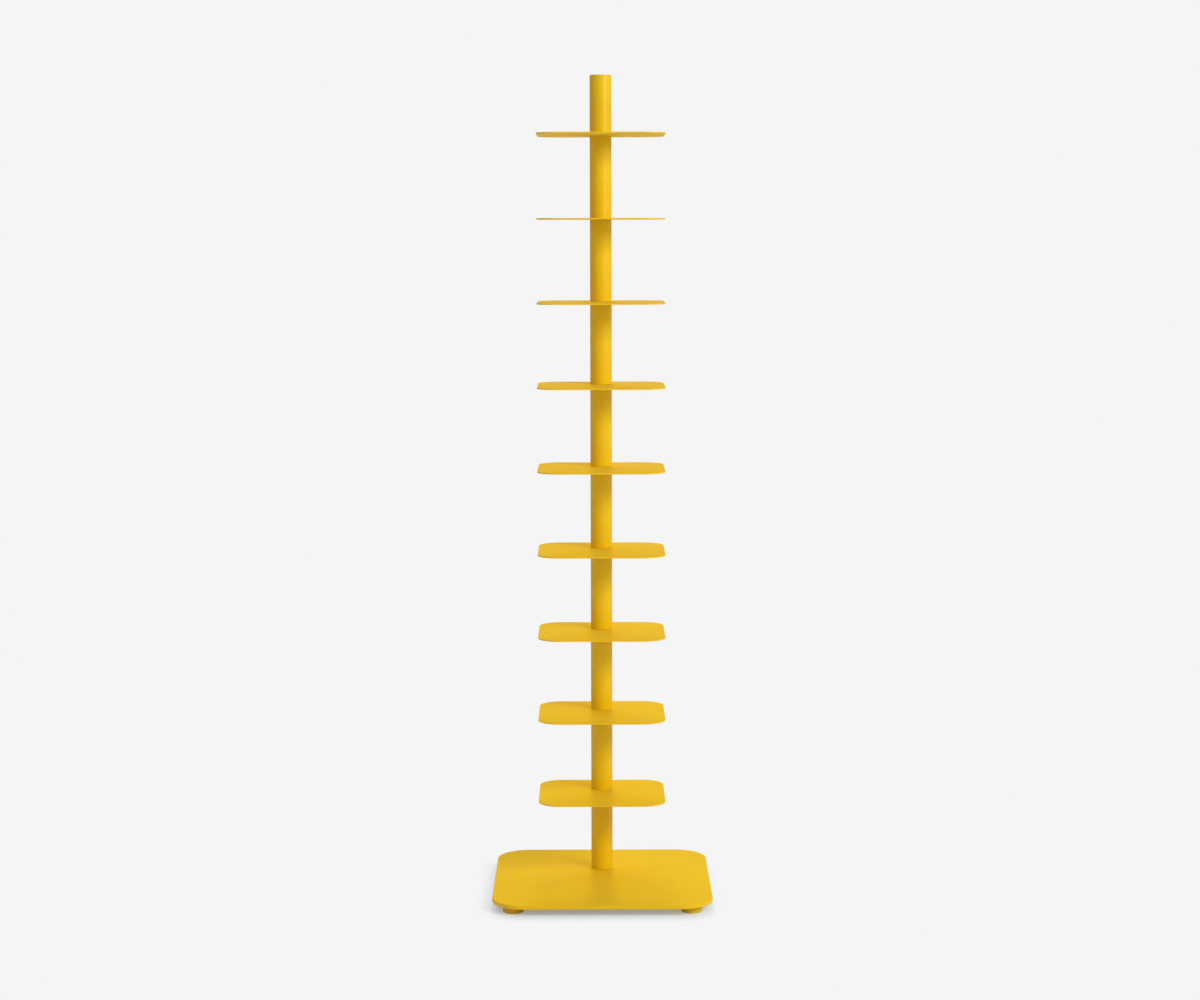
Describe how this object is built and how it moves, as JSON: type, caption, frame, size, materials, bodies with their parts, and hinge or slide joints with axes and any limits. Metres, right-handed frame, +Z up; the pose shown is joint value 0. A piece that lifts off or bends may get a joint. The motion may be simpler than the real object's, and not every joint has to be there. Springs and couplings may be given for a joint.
{
  "type": "bookshelf",
  "caption": "Free-standing spine bookshelf: thin round-cornered shelves on a slim central column over a square foot plate with levelling feet.",
  "frame": {"origin": "on the floor under the middle of the foot plate", "axes": "+Z up along the column, +X to the right seen from the front, -Y towards the front edge of the foot plate"},
  "size_m": [0.35, 0.35, 1.319],
  "materials": {
    "yellow_powder_coat": "satin powder coat",
    "yellow_moulding": "matt",
    "zinc_steel": "bright zinc plating",
    "turned_aluminium": "turned"
  },
  "bodies": {
    "tower": {"foot_plate": "yellow_powder_coat", "front_left_boss": "yellow_powder_coat", "front_right_boss": "yellow_powder_coat", "rear_left_boss": "yellow_powder_coat", "rear_right_boss": "yellow_powder_coat", "base_bush": "turned_aluminium", "column_tube_1": "yellow_powder_coat", "column_tube_2": "yellow_powder_coat", "column_tube_3": "yellow_powder_coat", "column_tube_4": "yellow_powder_coat", "column_tube_5": "yellow_powder_coat", "column_tube_6": "yellow_powder_coat", "column_tube_7": "yellow_powder_coat", "column_tube_8": "yellow_powder_coat", "column_tube_9": "yellow_powder_coat", "column_tube_10": "yellow_powder_coat", "shelf_1": "yellow_powder_coat", "shelf_bush_1": "turned_aluminium", "shelf_2": "yellow_powder_coat", "shelf_bush_2": "turned_aluminium", "shelf_3": "yellow_powder_coat", "shelf_bush_3": "turned_aluminium", "shelf_4": "yellow_powder_coat", "shelf_bush_4": "turned_aluminium", "shelf_5": "yellow_powder_coat", "shelf_bush_5": "turned_aluminium", "shelf_6": "yellow_powder_coat", "shelf_bush_6": "turned_aluminium", "shelf_7": "yellow_powder_coat", "shelf_bush_7": "turned_aluminium", "shelf_8": "yellow_powder_coat", "shelf_bush_8": "turned_aluminium", "shelf_9": "yellow_powder_coat", "shelf_bush_9": "turned_aluminium", "core_bar": "zinc_steel", "base_washer": "zinc_steel", "base_nut": "zinc_steel", "clamp_disc": "zinc_steel", "top_washer": "zinc_steel", "top_nut": "zinc_steel", "top_cap": "yellow_powder_coat"},
    "front_left_pad": {"front_left_pad": "yellow_moulding"},
    "front_left_stud": {"front_left_stud": "zinc_steel"},
    "front_right_pad": {"front_right_pad": "yellow_moulding"},
    "front_right_stud": {"front_right_stud": "zinc_steel"},
    "rear_left_pad": {"rear_left_pad": "yellow_moulding"},
    "rear_left_stud": {"rear_left_stud": "zinc_steel"},
    "rear_right_pad": {"rear_right_pad": "yellow_moulding"},
    "rear_right_stud": {"rear_right_stud": "zinc_steel"}
  },
  "joints": [
    {"name": "front_left_pad_slide", "type": "slide", "parent": "tower", "child": "front_left_pad", "axis": [0, 0, -1], "range_m": [0, 0.006]},
    {"name": "front_left_stud_turn", "type": "hinge", "parent": "front_left_pad", "child": "front_left_stud", "pos_m": [-0.141, -0.141, 0.01], "axis": [0, 0, -1], "range_deg": [0, 1728]},
    {"name": "front_right_pad_slide", "type": "slide", "parent": "tower", "child": "front_right_pad", "axis": [0, 0, -1], "range_m": [0, 0.006]},
    {"name": "front_right_stud_turn", "type": "hinge", "parent": "front_right_pad", "child": "front_right_stud", "pos_m": [0.141, -0.141, 0.01], "axis": [0, 0, -1], "range_deg": [0, 1728]},
    {"name": "rear_left_pad_slide", "type": "slide", "parent": "tower", "child": "rear_left_pad", "axis": [0, 0, -1], "range_m": [0, 0.006]},
    {"name": "rear_left_stud_turn", "type": "hinge", "parent": "rear_left_pad", "child": "rear_left_stud", "pos_m": [-0.141, 0.141, 0.01], "axis": [0, 0, -1], "range_deg": [0, 1728]},
    {"name": "rear_right_pad_slide", "type": "slide", "parent": "tower", "child": "rear_right_pad", "axis": [0, 0, -1], "range_m": [0, 0.006]},
    {"name": "rear_right_stud_turn", "type": "hinge", "parent": "rear_right_pad", "child": "rear_right_stud", "pos_m": [0.141, 0.141, 0.01], "axis": [0, 0, -1], "range_deg": [0, 1728]}
  ],
  "couplings": [
    {"joint": "front_left_stud_turn", "follows": "front_left_pad_slide", "rad_per_m": 5026.5},
    {"joint": "front_right_stud_turn", "follows": "front_right_pad_slide", "rad_per_m": 5026.5},
    {"joint": "rear_left_stud_turn", "follows": "rear_left_pad_slide", "rad_per_m": 5026.5},
    {"joint": "rear_right_stud_turn", "follows": "rear_right_pad_slide", "rad_per_m": 5026.5}
  ]
}
